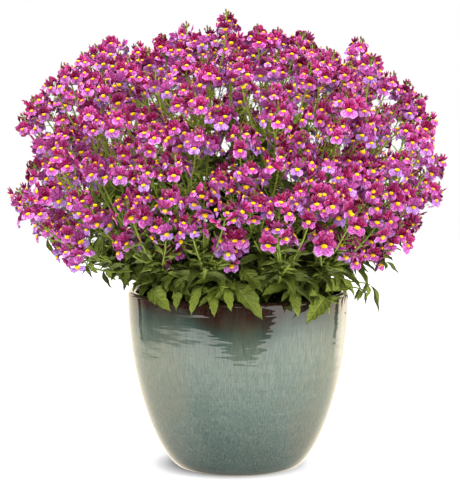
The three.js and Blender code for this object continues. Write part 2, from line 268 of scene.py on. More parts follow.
def leaf_finish():
    """An olive green blade with a light midrib, side veins, painted shade along the edge towards the
    foot, a few browned tips, and painted shade deep in the plant.
    """
    finish = Finish("leaf", specular_ior_level=0.3)
    spread = finish.node("UVMap", {"uv_map": "petal"}, {})
    side = abs(finish.part(spread, "X") * 2 - 1)
    along = finish.part(spread, "Y")
    tone = finish.tone()
    blotch = finish.grain(finish.place(), scale=55, detail=3.0)
    fine = finish.grain(finish.place(), scale=420)
    colour = finish.ramp(
        tone * 0.7 + blotch * 0.4 + fine * 0.36 - 0.23,
        (0.0, rgb(17, 19, 8)), (0.3, rgb(93, 104, 36)),
        (0.6, rgb(142, 157, 62)), (1.0, rgb(162, 176, 80)),
    )
    rib = 1 - side.step(0.03, 0.14)
    side_veins = ((along * 40 - side * 13).sine() * 0.5 + 0.5) ** 5 * side.step(0.05, 0.2)
    colour = finish.mix(rib * 0.45 + side_veins * 0.24, colour, rgb(146, 164, 88))
    # Painted shade along the edges, strongest towards the leaf's foot.
    edge = side.step(0.45, 1.0) * (1 - along)
    colour = finish.mix(edge * 0.4, colour, rgb(58, 70, 26))
    worn = (along + fine * 0.12).step(0.97, 1.05) * tone.step(0.5, 0.7)
    colour = finish.mix(worn * 0.8, colour, rgb(150, 110, 45))
    # Painted shade: darker deep in the plant.
    colour = finish.mix(finish.inside() * 0.75, colour, rgb(14, 18, 8))
    finish.set(base_color=colour, roughness=0.42 + fine * 0.25)
    height = fine * 0.5 - side_veins * 1.5 - rib * 1.5 + blotch
    finish.bump(height, strength=0.7, distance=1.2)
    return finish.material


UPPER_LIP = petal_finish(
    "upper_lip",
    along_stops=(
        (0.0, rgb(88, 0, 38)), (0.3, rgb(140, 10, 70)),
        (0.7, rgb(171, 44, 109)), (1.0, rgb(202, 97, 160)),
    ),
    warm=rgb(136, 7, 58), cool=rgb(184, 87, 168),
    deep=rgb(76, 0, 38), painted_highlight=rgb(208, 112, 174),
    lobes=4, vein_count=70, vein_depth=0.4,
)
LOWER_LIP = petal_finish(
    "lower_lip",
    along_stops=(
        (0.0, rgb(150, 30, 106)), (0.3, rgb(189, 68, 156)),
        (0.75, rgb(198, 97, 184)), (1.0, rgb(214, 151, 214)),
    ),
    warm=rgb(193, 66, 148), cool=rgb(183, 147, 226),
    deep=rgb(116, 28, 98), painted_highlight=rgb(232, 190, 234),
    lobes=2, vein_count=46, vein_depth=0.25,
)
BUD = petal_finish(
    "bud",
    along_stops=(
        (0.0, rgb(110, 120, 50)), (0.45, rgb(132, 60, 66)),
        (0.8, rgb(128, 26, 72)), (1.0, rgb(150, 50, 96)),
    ),
    warm=rgb(150, 40, 76), cool=rgb(120, 130, 60),
    deep=rgb(80, 30, 40), painted_highlight=rgb(170, 90, 110),
    lobes=3, vein_count=20, vein_depth=0.2,
)
GREEN = green_finish()
LEAF = leaf_finish()


def palate_finish():
    """A velvety yellow boss, a little orange in places."""
    finish = Finish("palate", specular_ior_level=0.15, sheen_weight=0.1)
    mottle = finish.grain(finish.place(), scale=500)
    colour = finish.mix(mottle.step(0.45, 0.65), rgb(240, 196, 2), rgb(230, 160, 0))
    finish.set(base_color=colour, roughness=0.5 + mottle * 0.2)
    finish.bump(mottle, strength=0.5, distance=0.4)
    return finish.material


PALATE = palate_finish()


# Shapes that are copied many times. Flowers, buds and pods are in millimetres and face +Z
FLOWER_SLOTS = [UPPER_LIP, LOWER_LIP, PALATE, GREEN, BUD]
UPPER_SLOT, LOWER_SLOT, PALATE_SLOT, GREEN_SLOT, BUD_SLOT = range(5)
LEAFY_SLOTS = [GREEN, LEAF]
STEM_SLOT, LEAF_SLOT = range(2)


def new_shape():
    shape = bmesh.new()
    shape.loops.layers.uv.new("petal")
    return shape


def dressed(made, slot, smooth=True):
    """Gives the faces round new corners a material slot."""
    for face in {face for vertex in made["verts"] for face in vertex.link_faces}:
        face.material_index = slot
        face.smooth = smooth
    return made["verts"]


def kept(shape, name):
    mesh = bpy.data.meshes.new(name)
    shape.to_mesh(mesh)
    shape.free()
    return mesh


def add_cone(shape, slot, sides, radii, length, middle=0.0, capped=False, smooth=True):
    """A cone or tube up +Z, from the first radius to the second, with its middle at a height."""
    settings = {"cap_ends": capped, "segments": sides, "depth": length, "calc_uvs": True}
    settings |= {"radius1": radii[0], "radius2": radii[1], "matrix": Matrix.Translation((0, 0, middle))}
    return dressed(bmesh.ops.create_cone(shape, **settings), slot, smooth)


def sheet(shape, columns, rows, slot, place):
    """A sheet of petal or leaf. place() takes the share across, -1 to 1, and along, 0 to 1."""
    settings = {"x_segments": columns, "y_segments": rows, "size": 0.5, "calc_uvs": True}
    for corner in dressed(bmesh.ops.create_grid(shape, **settings), slot):
        corner.co = place(2 * corner.co.x, corner.co.y + 0.5)


def upper_lip(shape, radius, span, curl, ruffle, notch, skew):
    """Four rounded lobes, joined for most of their length, that fan out over the throat."""
    throat = 1.4

    def place(across, along):
        angle = radians(span * across + skew * along)
        lobed = abs(sin(2 * pi * across))
        tall = radius * (1 - 0.2 * across * across) * (notch + (1.04 - notch) * lobed)
        reach = throat + (tall - throat) * along
        depth = curl * along * along + ruffle * along * (lobed - 0.5)
        depth = depth + 0.6 * cos(angle) * along + 0.12 * skew * across * along
        return Vector((reach * sin(angle), reach * cos(angle), depth))

    sheet(shape, columns=12, rows=2, slot=UPPER_SLOT, place=place)


def lower_lip(shape, length, span, bulge, ruffle):
    """The lower lip, of two broad lobes, which stands forward and turns down."""
    throat = 1.0

    def place(across, along):
        angle = radians(span * across)
        lobed = abs(sin(pi * across))
        reach = throat + (length * (0.74 + 0.28 * lobed) - throat) * along
        depth = 0.6 + bulge * sin(pi * along ** 0.8)
        depth = depth + along + ruffle * along * (lobed - 0.5)
        return Vector((-reach * sin(angle), -reach * cos(angle), depth))

    sheet(shape, columns=6, rows=2, slot=LOWER_SLOT, place=place)


def add_palate(shape):
    """The yellow boss in the throat, widest at its sides."""
    width, middle, rise = 4.0, -1.7, 2.8
    for corner in add_cone(shape, PALATE_SLOT, sides=8, radii=(1, 0.72), length=1, capped=True):
        across, up, out = corner.co
        tall = 2.25 + 0.7 * abs(across)
        corner.co = Vector((width * across, tall * up + middle, 2.6 * out + rise - 0.3 * up))


def flower(name, radius, span, curl, length, notch):
    """A two-lipped flower: both lips, the palate, the tube and the calyx."""
    shape = new_shape()
    ruffle = between(1.6, 3.6)
    bulge = between(1.6, 2.8)
    upper_lip(shape, radius, span, curl, ruffle, notch, skew=between(-12, 12))
    lower_lip(shape, length, span=80, bulge=bulge, ruffle=ruffle * 0.8)
    add_palate(shape)
    add_cone(shape, LOWER_SLOT, sides=6, radii=(1.2, 2.5), length=5.0, middle=-2.2)
    add_cone(shape, GREEN_SLOT, sides=5, radii=(0.5, 2.3), length=2.6, middle=-4.6, smooth=False)
    return kept(shape, name)


def drawn_flowers(name, count, **ranges):
    """Flowers of one form, whose sizes are drawn from its ranges."""
    def drawn():
        return {size: between(*ends) for size, ends in ranges.items()}
    return [flower(f"{name}_{index}", **drawn()) for index in range(count)]


# Open flowers are wide, and flat, cupped or turned back. The upper lobes of young ones stand close
OPEN_FLOWERS = drawn_flowers(
    "open_flower", count=8, radius=(12.8, 15.0), span=(76, 106), curl=(-6, 4),
    length=(12.0, 14.4), notch=(0.7, 0.84),
)
YOUNG_FLOWERS = drawn_flowers(
    "young_flower", count=4, radius=(12.8, 15.2), span=(44, 66), curl=(-1, 6),
    length=(9.8, 12.4), notch=(0.56, 0.7),
)


def add_ball(shape, slot):
    """A coarse ball of radius 1."""
    settings = {"subdivisions": 1, "radius": 1, "calc_uvs": True}
    return dressed(bmesh.ops.create_icosphere(shape, **settings), slot)


def bud():
    """A closed flower in its calyx."""
    shape = new_shape()
    for corner in add_ball(shape, BUD_SLOT):
        x, y, z = corner.co
        corner.co = Vector((1.3 * x, 1.3 * y, 2.2 * z + 1.4))
    add_cone(shape, GREEN_SLOT, sides=5, radii=(0.4, 1.6), length=2.2, smooth=False)
    return kept(shape, "bud")


def pod():
    """A young seed pod, flat and two-lobed."""
    shape = new_shape()
    for corner in add_ball(shape, GREEN_SLOT):
        x, y, z = corner.co
        notch = 1 - 0.3 * max(0, z) * exp(-((x / 0.4) ** 2))
        corner.co = Vector((1.9 * x, y, 2.4 * z * notch + 1.8))
    return kept(shape, "pod")


def rod(name, sides, steps, slot):
    """A unit stem up +Z, closed at its far end, to be bent along a curve."""
    shape = new_shape()
    bmesh.ops.create_circle(shape, segments=sides, radius=1)
    edges = list(shape.edges)
    for _ in range(steps):
        grown = bmesh.ops.extrude_edge_only(shape, edges=edges)["geom"]
        corners = [item for item in grown if isinstance(item, bmesh.types.BMVert)]
        edges = [item for item in grown if isinstance(item, bmesh.types.BMEdge)]
        bmesh.ops.translate(shape, vec=(0, 0, 1 / steps), verts=corners)
    bmesh.ops.holes_fill(shape, edges=edges, sides=sides)
    bmesh.ops.recalc_face_normals(shape, faces=shape.faces)
    dressed({"verts": list(shape.verts)}, slot)
    return kept(shape, name)


BUD_SHAPE = bud()
POD_SHAPE = pod()
PEDICEL = rod("pedicel", sides=3, steps=3, slot=GREEN_SLOT)
PEDUNCLE = rod("peduncle", sides=5, steps=9, slot=STEM_SLOT)
BRANCH = rod("branch", sides=6, steps=12, slot=STEM_SLOT)

LEAF_ROWS = 9
LEAF_HALF_WIDTH = 0.185
LEAF_FOOT_WIDTH = 0.012
TOOTH_OUT = 0.12
TOOTH_IN = -0.06
TOOTH_FORWARD = 0.035


def leaf(name, droop, fold, wave, twist):
    """A toothed, pointed blade along +Y, one unit long, which arches and droops towards its tip."""
    def place(across, along):
        row = round(along * LEAF_ROWS)
        half = LEAF_HALF_WIDTH * (sin(pi * along ** 0.7) if 0 < along < 1 else 0.0)
        half += LEAF_FOOT_WIDTH * (1 - along)
        toothed = abs(across) > 0.99 and 1 < row < LEAF_ROWS
        tooth = TOOTH_OUT if row % 2 else TOOTH_IN
        edge = 1 + tooth if toothed else 1
        forward = TOOTH_FORWARD if edge > 1 else 0
        turned = twist * along * across * half
        rise = fold * abs(across) * half + turned - droop * along ** 1.9
        rise += wave * half * sin(9 * along + 1.6 * across)
        reach = along * (1 - 0.28 * droop * along)
        return Vector((half * across * edge, reach + forward, rise))

    shape = new_shape()
    sheet(shape, columns=4, rows=LEAF_ROWS, slot=LEAF_SLOT, place=place)
    return kept(shape, name)


LEAVES = [
    leaf("arched_leaf", droop=0.35, fold=0.7, wave=0.14, twist=0.3),
    leaf("level_leaf", droop=0.12, fold=0.62, wave=0.2, twist=-0.4),
    leaf("hanging_leaf", droop=0.72, fold=0.75, wave=0.12, twist=0.2),
    leaf("twisted_leaf", droop=0.45, fold=0.55, wave=0.24, twist=-0.9),
]
ARCHED_LEAF, LEVEL_LEAF = UPRIGHT_LEAVES = LEAVES[:2]


# Pieces gathered from copies
class Gathering:
    """A mesh gathered from placed copies of shapes. Every corner carries its copy's tone."""

    def __init__(self):
        self.mesh = new_shape()
        self.mesh.verts.layers.float.new("tone")

    def copy(self, shape, tone):
        first = len(self.mesh.verts)
        self.mesh.from_mesh(shape)
        self.mesh.verts.ensure_lookup_table()
        corners = self.mesh.verts[first:]
        layer = self.mesh.verts.layers.float["tone"]
        for corner in corners:
            corner[layer] = tone
        return corners

    def add(self, shape, matrix, tone):
        bmesh.ops.transform(self.mesh, matrix=matrix, verts=self.copy(shape, tone))

    def add_along(self, shape, curve, radii, tone):
        """Copies a unit rod along a curve, from the first radius to the second, in millimetres."""
        start, end = (radius * MM for radius in radii)
        for corner in self.copy(shape, tone):
            share = corner.co.z
            along = curve_direction(curve, share)
            aside = along.cross(SIDEWAYS).normalized()
            radius = start + (end - start) * share
            offset = aside * corner.co.x + along.cross(aside) * corner.co.y
            corner.co = curve_point(curve, share) + offset * radius


def add_piece(name, shape, materials, replaced):
    """A visible piece in place of CAD nodes."""
    mesh = kept(shape, name)
    for material in materials:
        mesh.materials.append(material)
    made = add_object(name, mesh)
    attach(made, "root")
    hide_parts(*replaced)


def curve_point(curve, share):
    """A point on a cubic curve of four corners."""
    a, b, c, d = curve
    rest = 1 - share
    return a * rest ** 3 + b * 3 * rest * rest * share + c * 3 * rest * share * share + d * share ** 3


def curve_direction(curve, share):
    a, b, c, d = curve
    rest = 1 - share
    way = (b - a) * rest * rest + (c - b) * 2 * rest * share + (d - c) * share * share
    return way.normalized()


def put(place, x_way, y_way, z_way, size):
    """The matrix that puts a shape at a place, with its axes these ways."""
    turned = Matrix((x_way, y_way, z_way)).transposed().to_4x4()
    return Matrix.Translation(place) @ turned @ Matrix.Scale(size, 4)


def facing(place, forward, up, size):
    """The matrix that puts a shape at a place, its +Z forward and its +Y as near up as it can."""
    forward = forward.normalized()
    across = up.cross(forward).normalized()
    return put(place, across, forward.cross(across), forward, size)


def around(axis):
    """Two directions square to an axis and to each other."""
    aside = axis.cross(SIDEWAYS).normalized()
    return aside, axis.cross(aside)


def spoke(axis, angle):
    """The direction square to an axis, at an angle round it."""
    aside, ahead = around(axis)
    return aside * cos(angle) + ahead * sin(angle)


def level_part(vector):
    return Vector((vector.x, vector.y, 0))


def blend(first, second, share):
    return (first * (1 - share) + second * share).normalized()


# Where the flower heads stand, the first ones by a pixel's column and row in the photograph
MOUND_CENTRE = Vector((-0.014, 0, 0.362))
MOUND_REACH = 0.276
MOUND_RISE = 0.217
MOUND_DROP = 0.082
MOUND_POWER = 2.12
STALK_INSIDE = 0.021
CAD_HEADS = 49
TRIES = 9000
OUTLINE_HEADS = (
    (227, 28), (185, 39), (165, 51), (142, 58), (114, 53), (88, 69), (70, 80), (57, 94), (41, 112),
    (31, 128), (48, 148), (42, 176), (27, 202), (34, 217), (67, 228), (66, 249), (258, 43), (277, 45),
    (300, 48), (330, 68), (357, 54), (369, 74), (387, 88), (402, 98), (414, 110), (423, 128), (422, 148),
    (431, 169), (416, 186), (409, 203), (407, 219), (395, 238), (375, 256), (345, 254), (208, 44),
    (128, 74), (344, 82), (234, 50), (250, 56), (98, 62), (152, 64), (292, 60), (78, 258),
)
FRONT_HEADS = (
    (126, 244), (98, 224), (130, 213), (120, 177), (149, 174), (176, 170), (171, 207), (166, 233),
    (191, 231), (204, 203), (226, 217), (233, 246), (224, 188), (140, 201), (81, 205), (63, 170),
    (53, 198), (249, 181), (251, 206), (279, 213), (280, 167), (277, 236), (299, 174), (310, 191),
    (294, 203), (311, 215), (321, 240), (341, 204), (354, 218), (330, 199), (347, 187), (366, 179),
    (330, 169), (397, 171), (377, 226), (370, 199), (400, 236), (352, 256), (369, 249), (339, 251),
    (395, 200),
)


def mound_share(offset):
    """How far out an offset from the mound's centre lies: 1 on the mound's skin."""
    rise = MOUND_RISE if offset.z > 0 else MOUND_DROP
    level = hypot(offset.x, offset.y) / MOUND_REACH
    return (level ** MOUND_POWER + (abs(offset.z) / rise) ** MOUND_POWER) ** (1 / MOUND_POWER)


def where_seen(column, row, depth, behind=0.0):
    """The offset of the front of the mound, at a depth, where a pixel shows it."""
    direction = sight_line(column, row)
    start = CAMERA_PLACE - MOUND_CENTRE
    near = min(steps_back(start, direction, first=2.05, stride=0.01, count=36), key=mound_share)
    if mound_share(near) > depth:
        return near + direction * behind
    inwards = steps_back(start, direction, first=2.0, stride=0.003, count=200)
    return next((offset for offset in inwards if mound_share(offset) < depth), near)


class Head:
    """A true-size flower head, with the number of the CAD head that it is part of."""

    def __init__(self, offset, vigour, number):
        self.vigour = vigour
        self.number = number
        self.foot = MOUND_CENTRE + offset
        level = level_part(offset)
        polar = atan2(level.length, offset.z + 0.09)
        lean = 0.44 * polar + radians(between(-12, 12))
        outward = level.normalized() if level.length > 0.01 else Vector((0, -1, 0))
        outward.rotate(Matrix.Rotation(radians(between(-14, 14)), 3, "Z"))
        self.outward = outward
        self.axis = outward * sin(lean) + UP * cos(lean)

    def stand_on(self, sprout, way):
        """Makes the stalk, which leaves a branch one way and runs on up the middle of the head."""
        span = (self.foot - sprout).length
        bend = sprout + way * span * 0.35
        hold = self.foot - self.axis * span * 0.4
        self.stalk = (sprout, bend, hold, self.foot + self.axis * STALK_INSIDE)

    def stem_point(self, down):
        """The point that far down the stalk from the head's foot."""
        span = (self.stalk[3] - self.stalk[0]).length
        return curve_point(self.stalk, max(0.2, 1 - (STALK_INSIDE + down) / span))


def random_offset():
    """A place on or under the mound's skin. One in seven or eight stands a little proud of it."""
    height = between(-0.36, 1)
    turn = between(0, 2 * pi)
    level = sqrt(1 - height * height)
    offset = Vector((level * cos(turn), level * sin(turn), height))
    sunk = 0.12 if height > 0.4 else 0.2
    depth = 1.02 if height < 0.7 and CHANCE.random() < 0.14 else 0.96 - sunk * CHANCE.random() ** 1.4
    return offset * (depth / mound_share(offset))


def crowded(offset, placed, spacing):
    return any((offset - other).length < spacing for other in placed)


def spacing_at(offset):
    """The heads stand closest on top, and leave gaps at the sides and below."""
    if offset.z < 0.04:
        return 0.066 if offset.y < 0 else 0.047
    if abs(offset.x) > 0.19:
        return 0.049
    return 0.035 if offset.z > 0.14 else 0.0385


def grow_heads():
    """The heads that the photograph shows, one near each CAD head, and others in the room left."""
    places = [where_seen(*pixel, depth=0.9, behind=between(-0.1, 0.1)) for pixel in OUTLINE_HEADS]
    places += [where_seen(*pixel, depth=between(0.93, 1.0)) for pixel in FRONT_HEADS]
    nodes = [box_middle(f"flower_head_{number}") - MOUND_CENTRE for number in range(1, CAD_HEADS + 1)]
    for node in nodes:
        if not crowded(node, places, spacing=0.036):
            places.append(node * (between(0.88, 0.97) / mound_share(node)))
    for _ in range(TRIES):
        offset = random_offset()
        if not crowded(offset, places, spacing_at(offset)):
            places.append(offset)
    heads = []
    for offset in places:
        vigour = between(0.9, 1.1) * (1.05 - 0.7 * max(0, offset.z))
        nearest = min(range(CAD_HEADS), key=lambda index: (nodes[index] - offset).length)
        heads.append(Head(offset, vigour, number=1 + nearest))
    return heads


def box_middle(node):
    low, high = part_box(node)
    return (low + high) / 2


# One flower head
GOLDEN_TURN = radians(137.5)
BUD_TURN = 2.4


def add_pedicel(piece, start, end, sag, tone, radius):
    """A thin stalk to a flower, a bud or a pod, which sags by a share of its span."""
    reach = end - start
    span = reach.length
    bend = start + reach * 0.33 - sag * span
    hold = end - reach * 0.3 - sag * span * 0.6
    piece.add_along(PEDICEL, (start, bend, hold, end), (radius, radius * 0.8), tone)


def add_flower(piece, head, shape, height, turn, radius, tilt, size, age):
    """A flower whose throat stands at a height, a turn and a radius round the head's axis."""
    aside = head.outward - head.axis * head.outward.dot(head.axis)
    aside = aside.normalized() if aside.length > 0.01 else around(head.axis)[0]
    outward = Matrix.Rotation(turn, 3, head.axis) @ aside
    sideways, upwards = around(outward)
    forward = outward * cos(tilt) + head.axis * sin(tilt) + sideways * CHANCE.gauss(0, 0.3)
    forward = (forward + upwards * CHANCE.gauss(0, 0.2)).normalized()
    upward = blend(head.axis, UP, 0.5) + sideways * between(-0.55, 0.55)
    throat = head.foot + head.axis * height + outward * radius
    stretch = (between(0.84, 1.1), between(0.9, 1.1), between(0.7, 1.5), 1)
    matrix = facing(throat, forward, upward, size * MM) @ Matrix.Diagonal(stretch)
    piece.add(shape, matrix, min(1, max(0, CHANCE.gauss(age, 0.24))))
    calyx = throat - forward * 5.4 * MM * size
    node = head.foot + head.axis * (height - 9 * MM)
    add_pedicel(piece, node, calyx, head.axis * -0.1, between(0.4, 0.9), 0.5)


def add_head(piece, head):
    """Flowers in a short spiral turned outwards, buds on top, and spent pedicels below."""
    vigour = head.vigour
    ripeness = CHANCE.gauss(0.85, 0.14)
    count = CHANCE.choice((7, 7, 8, 8, 9, 9))
    start = between(-0.6, 0.6)
    for index in range(count):
        share = index / (count - 1)
        turn = start + GOLDEN_TURN * index
        rise = (17 - 20 * share + between(-3, 3)) * MM * vigour
        radius = (8.2 + 7.4 * share) * between(0.84, 1.2) * MM * vigour
        lean = radians(30 - 30 * share + between(-20, 20))
        size = (0.8 + 0.15 * share) * vigour * between(0.88, 1.07)
        shape = CHANCE.choice(YOUNG_FLOWERS if CHANCE.random() > share * 1.6 + 0.2 else OPEN_FLOWERS)
        add_flower(piece, head, shape, rise, turn, radius, lean, size, ripeness - 0.6 * share)
    add_buds(piece, head)
    add_spent(piece, head)


def add_buds(piece, head):
    """The buds on top of a head, in a spiral that opens downwards."""
    for index in range(CHANCE.randint(4, 7)):
        reach = (1.0 + 0.75 * index) * MM
        outward = spoke(head.axis, BUD_TURN * index)
        place = head.foot + head.axis * (22 - 1.3 * index) * MM + outward * reach
        size = between(0.8, 1.15) * MM
        matrix = facing(place, blend(head.axis, outward, 0.35), outward, size)
        piece.add(BUD_SHAPE, matrix, CHANCE.random())
        add_pedicel(piece, head.foot + head.axis * 10 * MM, place, outward * 0.05, 0.7, 0.35)


def add_spent(piece, head):
    """Pedicels whose flowers have dropped, down the stem from the head. Some hold a pod."""
    for index in range(CHANCE.randint(9, 14)):
        node = head.stem_point(index * 4.0 * MM)
        outward = spoke(head.axis, BUD_TURN * index + between(-0.3, 0.3))
        end = node + outward * between(8, 13) * MM + head.axis * between(4, 9) * MM
        add_pedicel(piece, node, end, head.axis * 0.12, between(0.5, 1.0), 0.52)
        if CHANCE.random() < 0.5:
            size = between(0.5, 1.0) * MM
            matrix = facing(end, blend(head.axis, outward, 0.4), outward, size)
            piece.add(POD_SHAPE, matrix, between(0.3, 1.0))


# Stems and leaves. The middle stem carries the top heads, and the stems round it the other two rows
TOP_HEADS = 7
UPPER_HEADS = 12
OUTER_STEMS = 6
STEM_RING = 0.084
STEM_ROOT = 0.196
OUTER_FORK = 0.262
MIDDLE_FORK = 0.33
SHOOT_ROOT = 0.226
LOW_LEAVES = 0.33
LOW_HEADS = 0.4


def stem_of(number):
    """The leafy stem, 1 to 7, that carries a CAD head."""
    upper = number - TOP_HEADS - 1
    lower = upper - UPPER_HEADS
    if upper < 0:
        return 1
    return 2 + (upper // 2 if lower < 0 else lower // 5)


def middle_turn(stem):
    """The azimuth of an outer stem, counted from the front, anticlockwise from above."""
    return 2 * pi * (stem - 1.5) / OUTER_STEMS


def outward_at(turn):
    """The level direction at an azimuth."""
    return Vector((sin(turn), -cos(turn), 0))


def add_leaf(piece, place, direction, length, shape, tone, up=UP):
    """A leaf that sets off in a direction, its upper face as near up as it can be."""
    across = direction.cross(up).normalized()
    lift = across.cross(direction).normalized()
    piece.add(shape, put(place, across, direction, lift, length), tone)


def add_leaf_pairs(piece, curve, shares, lengths, tones, shapes):
    """Opposite pairs up a curve, each pair turned a quarter from the pair below."""
    first = between(0, pi)
    for index, share in enumerate(shares):
        place = curve_point(curve, share)
        along = curve_direction(curve, share)
        least_rise = 0.25 if place.z < LOW_LEAVES else -0.2
        quarter = first + index * pi / 2
        for side in (0, pi):
            outward = spoke(along, quarter + side + between(-0.35, 0.35))
            direction = (outward + along * between(0.1, 0.6)).normalized()
            direction.z = max(direction.z, least_rise)
            direction.normalize()
            length = between(*lengths) * (1 - 0.35 * share)
            # Painted shade: leaves higher up each curve, deeper in the canopy, get a darker tone.
            tone = between(*tones) * (1 - 0.85 * share)
            add_leaf(piece, place, direction, length, CHANCE.choice(shapes), tone)


def grow_main_stem(piece, stem):
    """A main stem up from the soil, with its root and its fork."""
    if stem == 1:
        root = UP * STEM_ROOT
        fork_height = MIDDLE_FORK
    else:
        root = outward_at(middle_turn(stem)) * STEM_RING + UP * STEM_ROOT
        fork_height = OUTER_FORK
    fork = Vector((root.x * 1.04, root.y * 1.04, fork_height))
    main = (root, root.lerp(fork, 0.33), root.lerp(fork, 0.67), fork)
    piece.add_along(BRANCH, main, radii=(3.4, 2.8), tone=0.3)
    pairs = (0.5, 0.65, 0.8, 0.95)
    add_leaf_pairs(piece, main, pairs, (0.074, 0.1), (0.0, 0.45), LEAVES)
    return root, fork


def grow_branch(piece, root, fork, number):
    """A branch from the main stem most of the way to a CAD head's place."""
    start = root.lerp(fork, between(0.55, 1.0))
    reach = box_middle(f"flower_head_{number}") - start
    end = start + reach * 0.62 - UP * reach.length * 0.06
    bend = start + reach * 0.2 + level_part(reach) * 0.08
    curve = (start, bend, end - reach.normalized() * 0.02, end)
    piece.add_along(BRANCH, curve, radii=(2.1, 1.5), tone=between(0.2, 0.6))
    pairs = [0.08 + 0.1 * index for index in range(9 if number > TOP_HEADS else 6)]
    add_leaf_pairs(piece, curve, pairs, (0.044, 0.07), (0.0, 0.38), LEAVES)
    return curve


def grow_stalk(piece, branch, head):
    """The stalk from a branch to a flower head. A low head's stalk has the most leaves."""
    share = between(0.45, 1.0)
    head.stand_on(curve_point(branch, share), curve_direction(branch, share))
    piece.add_along(PEDUNCLE, head.stalk, radii=(1.5, 0.85), tone=between(0.35, 0.9))
    pairs = (0.12, 0.3, 0.48) if head.foot.z < LOW_HEADS else (0.2,)
    add_leaf_pairs(piece, head.stalk, pairs, (0.022, 0.04), (0.1, 0.8), UPRIGHT_LEAVES)


def grow_stem(piece, stem, heads):
    """A main stem, a branch to each CAD head's place, and a stalk to each flower head."""
    root, fork = grow_main_stem(piece, stem)
    for number in sorted({head.number for head in heads}):
        branch = grow_branch(piece, root, fork, number)
        for head in heads:
            if head.number == number:
                grow_stalk(piece, branch, head)


# Leaves over the rim, by the pixels of each one's foot and tip in the photograph
RIM_FOOT_RADIUS = 0.152
RIM_TIP_RADIUS = 0.168
RIM_LEAVES = (
    (151, 290, 165, 314), (177, 272, 167, 290), (183, 280, 177, 308), (201, 288, 193, 313),
    (214, 298, 214, 316), (227, 290, 230, 310), (234, 285, 256, 319), (220, 278, 198, 288),
    (242, 270, 258, 292), (137, 283, 158, 289), (127, 265, 126, 290), (155, 260, 172, 265),
    (289, 285, 267, 300), (291, 292, 297, 315), (318, 297, 299, 301), (325, 298, 312, 326),
    (328, 303, 342, 300), (305, 273, 310, 293), (303, 268, 296, 284), (363, 290, 366, 305),
    (370, 285, 378, 311), (248, 273, 258, 290), (332, 270, 338, 287), (345, 288, 331, 300),
    (48, 237, 52, 256), (87, 262, 90, 278), (104, 268, 108, 288), (385, 262, 397, 275),
    (280, 262, 290, 280), (262, 282, 246, 297), (189, 262, 200, 281), (212, 268, 222, 287),
    (340, 278, 352, 296), (170, 284, 186, 299), (143, 268, 150, 287),
)


def on_ring(column, row, radius):
    """The place at a radius from the pot's axis that a pixel shows, or else the last tried."""
    for place in steps_back(CAMERA_PLACE, sight_line(column, row), first=2.1, stride=0.001, count=300):
        if hypot(place.x, place.y) < radius:
            break
    return place


def add_rim_leaves(piece, stem):
    """A stem's share of the leaves over the rim, each on a short shoot with two small leaves."""
    for column, row, tip_column, tip_row in RIM_LEAVES:
        start = on_ring(column, row, RIM_FOOT_RADIUS)
        turn = atan2(start.x, -start.y)
        if stem != 2 + int(turn / (2 * pi / OUTER_STEMS) % OUTER_STEMS):
            continue
        reach = on_ring(tip_column, tip_row, RIM_TIP_RADIUS) - start
        level = level_part(start).normalized()
        root = level * 0.09 + UP * SHOOT_ROOT
        curve = (root, root + UP * (start.z - 0.22), start - level * 0.02 + UP * 0.01, start)
        piece.add_along(PEDUNCLE, curve, radii=(1.5, 1.0), tone=0.6)
        direction = (reach.normalized() + UP * 0.25).normalized()
        upper = UP + level * 0.8
        length = reach.length * 1.15
        add_leaf(piece, start, direction, length, LEVEL_LEAF, tone=between(0.25, 0.68), up=upper)
        for spread in (-65, 65):
            turned = Matrix.Rotation(radians(spread + between(-20, 20)), 3, upper)
            place = start - level * 0.004
            length = between(0.014, 0.026)
            add_leaf(piece, place, turned @ direction, length, ARCHED_LEAF, between(0.3, 0.9), upper)


def add_rim_shoots(piece, stem):
    """Short shoots at different heights whose leaves stand over the rim or hang across it."""
    for index in range(5):
        turn = middle_turn(stem) + radians(-24 + 12 * index + between(-5, 5))
        outward = outward_at(turn)
        start = outward * 0.085 + UP * SHOOT_ROOT
        end = outward * between(0.108, 0.142) + UP * between(0.25, 0.31)
        curve = (start, start + UP * 0.02, end - outward * 0.015, end)
        piece.add_along(PEDUNCLE, curve, radii=(1.6, 1.1), tone=0.5)
        for share, spreads in ((0.6, (-80, 80)), (0.8, (-15, 165)), (1.0, (-50, 50, -5))):
            place = curve_point(curve, share)
            for spread in spreads:
                way = outward_at(turn + radians(spread + between(-22, 22)))
                if CHANCE.random() < 0.2:
                    continue
                direction = (way + UP * between(-0.3, 0.8)).normalized()
                shape = CHANCE.choice(LEAVES + UPRIGHT_LEAVES)
                length = between(0.026, 0.052)
                add_leaf(piece, place, direction, length, shape, tone=between(0.2, 1.0))


heads = grow_heads()
for stem in range(1, OUTER_STEMS + 2):
    piece = Gathering()
    grow_stem(piece, stem, [head for head in heads if stem_of(head.number) == stem])
    if stem > 1:
        add_rim_shoots(piece, stem)
        add_rim_leaves(piece, stem)
    add_piece(f"leaves_and_stems_{stem}", piece.mesh, LEAFY_SLOTS, [f"leafy_stem_{stem}"])

for number in range(1, CAD_HEADS + 1):
    piece = Gathering()
    for head in heads:
        if head.number == number:
            add_head(piece, head)
    add_piece(f"flowers_{number}", piece.mesh, FLOWER_SLOTS, [f"flower_head_{number}"])


# Pot
POT_HEIGHT = 0.24
MOUTH_RADIUS = 0.15
FOOT_RADIUS = 0.082
POT_WALL = 0.012
POT_FLOOR = 0.016
POT_BELLY = 0.7
POT_STEPS = 128
POT_ROWS = 36
FLOOR_BEND = 0.008


def pot_radius(z):
    """The outer radius at a height."""
    rise = 1 - (1 - z / POT_HEIGHT) ** 2
    return FOOT_RADIUS + (MOUTH_RADIUS - FOOT_RADIUS) * max(0, rise) ** POT_BELLY


